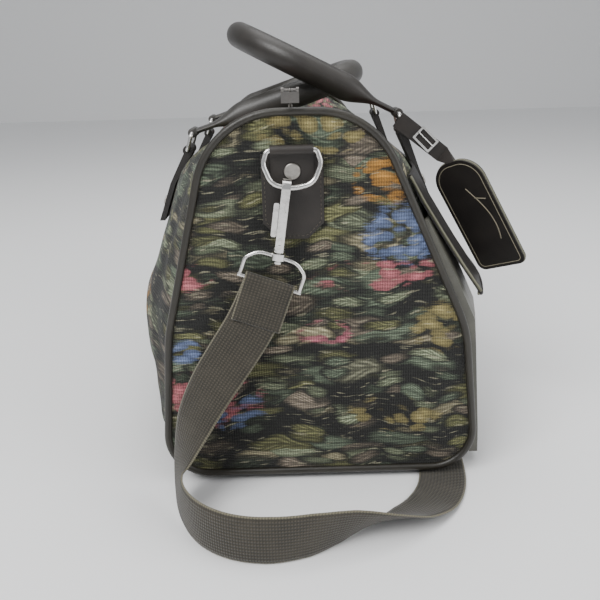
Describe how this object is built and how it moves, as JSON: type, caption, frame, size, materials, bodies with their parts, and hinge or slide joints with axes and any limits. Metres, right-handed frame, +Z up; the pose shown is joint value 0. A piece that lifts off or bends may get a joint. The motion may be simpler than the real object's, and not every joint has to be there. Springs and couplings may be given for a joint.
{
  "type": "carpet bag",
  "caption": "Tapestry holdall with rolled carry handles, a zipped sagging top, a flapped front pocket, a luggage tag and a clip-on shoulder strap.",
  "frame": {"origin": "on the floor under the middle of the whole width and length, the strap left out", "axes": "+Y along the bag's length towards the far end, +X towards the pocket side, +Z up"},
  "size_m": [0.3386, 0.6689, 0.3667],
  "materials": {
    "tapestry": "woven",
    "piping": "semi-gloss",
    "base_cloth": "matt",
    "board": "matt",
    "stud_metal": "satin",
    "zip_tape": "woven",
    "zip_coil": "satin",
    "zip_metal": "satin",
    "dark_leather": "satin",
    "rivet_metal": "satin",
    "ring_metal": "polished",
    "hook_metal": "polished",
    "handle_leather": "satin",
    "anchor_leather": "satin",
    "pocket_vinyl": "satin",
    "flap_leather": "satin",
    "tag_leather": "satin",
    "buckle_metal": "satin",
    "webbing": "ribbed",
    "adjuster_metal": "satin"
  },
  "bodies": {
    "root": {"anchor_rivets": "rivet_metal", "back_far_anchor": "anchor_leather", "back_near_anchor": "anchor_leather", "back_side_panel": "tapestry", "base_board": "board", "base_panel": "base_cloth", "base_studs": "stud_metal", "far_end_panel": "tapestry", "far_piping": "piping", "far_ring_patch": "dark_leather", "far_ring_tab": "dark_leather", "far_tab_rivet": "rivet_metal", "front_far_anchor": "anchor_leather", "front_near_anchor": "anchor_leather", "front_side_panel": "tapestry", "near_end_panel": "tapestry", "near_piping": "piping", "near_ring_patch": "dark_leather", "near_ring_tab": "dark_leather", "near_tab_rivet": "rivet_metal", "pocket_flap": "flap_leather", "pocket_gussets": "pocket_vinyl", "pocket_panel": "pocket_vinyl", "shoulder_strap": "webbing", "strap_adjuster": "adjuster_metal", "strap_tail": "webbing", "zip_stops": "zip_coil", "zip_tape_back": "zip_tape", "zip_tape_front": "zip_tape", "zip_teeth": "zip_coil"},
    "zip_slider": {"zip_slider": "zip_metal"},
    "zip_pull": {"zip_pull": "zip_metal"},
    "near_ring": {"near_d_ring": "ring_metal", "near_hook_bail": "hook_metal"},
    "near_hook": {"near_hook_body": "hook_metal"},
    "near_gate": {"near_hook_gate": "hook_metal"},
    "far_ring": {"far_d_ring": "ring_metal", "far_hook_bail": "hook_metal"},
    "far_hook": {"far_hook_body": "hook_metal"},
    "far_gate": {"far_hook_gate": "hook_metal"},
    "front_rings": {"front_near_ring": "ring_metal", "front_far_ring": "ring_metal"},
    "handle_front": {"handle_front": "handle_leather"},
    "back_rings": {"back_near_ring": "ring_metal", "back_far_ring": "ring_metal"},
    "handle_back": {"handle_back": "handle_leather"},
    "luggage_tag": {"tag_body": "tag_leather", "tag_strap": "tag_leather", "tag_buckle": "buckle_metal", "tag_prong": "buckle_metal"}
  },
  "joints": [
    {"name": "zip_travel", "type": "hinge", "parent": "root", "child": "zip_slider", "pos_m": [-0.02845, 0, 1.12822], "axis": [1, 0, 0], "range_deg": [0, 27.9]},
    {"name": "zip_pull_turn", "type": "hinge", "parent": "zip_slider", "child": "zip_pull", "pos_m": [-0.02845, -0.233, 0.312], "axis": [-1, 0, 0], "range_deg": [0, 180]},
    {"name": "near_ring_swing", "type": "hinge", "parent": "root", "child": "near_ring", "pos_m": [-0.02845, -0.23125, 0.271], "axis": [-1, 0, 0], "range_deg": [0, 110], "deforming": ["shoulder_strap"]},
    {"name": "near_hook_swivel", "type": "hinge", "parent": "near_ring", "child": "near_hook", "pos_m": [-0.03295, -0.23816, 0.24539], "axis": [0.1478, 0, 0.989], "range_deg": [-10, 10]},
    {"name": "near_gate_open", "type": "hinge", "parent": "near_hook", "child": "near_gate", "pos_m": [-0.03886, -0.23676, 0.20583], "axis": [0.989, 0, -0.1478], "range_deg": [0, 9], "stiffness_Nm_per_rad": 0.05},
    {"name": "far_ring_swing", "type": "hinge", "parent": "root", "child": "far_ring", "pos_m": [-0.02845, 0.23125, 0.271], "axis": [1, 0, 0], "range_deg": [0, 110], "deforming": ["strap_tail"]},
    {"name": "far_hook_swivel", "type": "hinge", "parent": "far_ring", "child": "far_hook", "pos_m": [-0.03295, 0.23816, 0.24539], "axis": [-0.1478, 0, -0.989], "range_deg": [-10, 10]},
    {"name": "far_gate_open", "type": "hinge", "parent": "far_hook", "child": "far_gate", "pos_m": [-0.03886, 0.23676, 0.20583], "axis": [-0.989, 0, 0.1478], "range_deg": [0, 9], "stiffness_Nm_per_rad": 0.05},
    {"name": "front_ring_tip", "type": "hinge", "parent": "root", "child": "front_rings", "pos_m": [0.06655, 0, 0.272], "axis": [0, 1, 0], "range_deg": [0, 25]},
    {"name": "front_handle_swing", "type": "hinge", "parent": "front_rings", "child": "handle_front", "pos_m": [0.06305, 0, 0.286], "axis": [0, 1, 0], "range_deg": [0, 160]},
    {"name": "back_ring_tip", "type": "hinge", "parent": "root", "child": "back_rings", "pos_m": [-0.12245, 0, 0.257], "axis": [0, 1, 0], "range_deg": [-25, 0]},
    {"name": "back_handle_swing", "type": "hinge", "parent": "back_rings", "child": "handle_back", "pos_m": [-0.11745, 0, 0.272], "axis": [0, 1, 0], "range_deg": [-160, 0]},
    {"name": "tag_swing", "type": "hinge", "parent": "root", "child": "luggage_tag", "pos_m": [0.0648, -0.122, 0.279], "axis": [0, -1, 0], "range_deg": [0, 50]}
  ],
  "couplings": [
    {"joint": "front_ring_tip", "follows": "front_handle_swing", "ratio": 0.15},
    {"joint": "back_ring_tip", "follows": "front_handle_swing", "ratio": -0.15},
    {"joint": "back_handle_swing", "follows": "front_handle_swing", "ratio": -1}
  ]
}
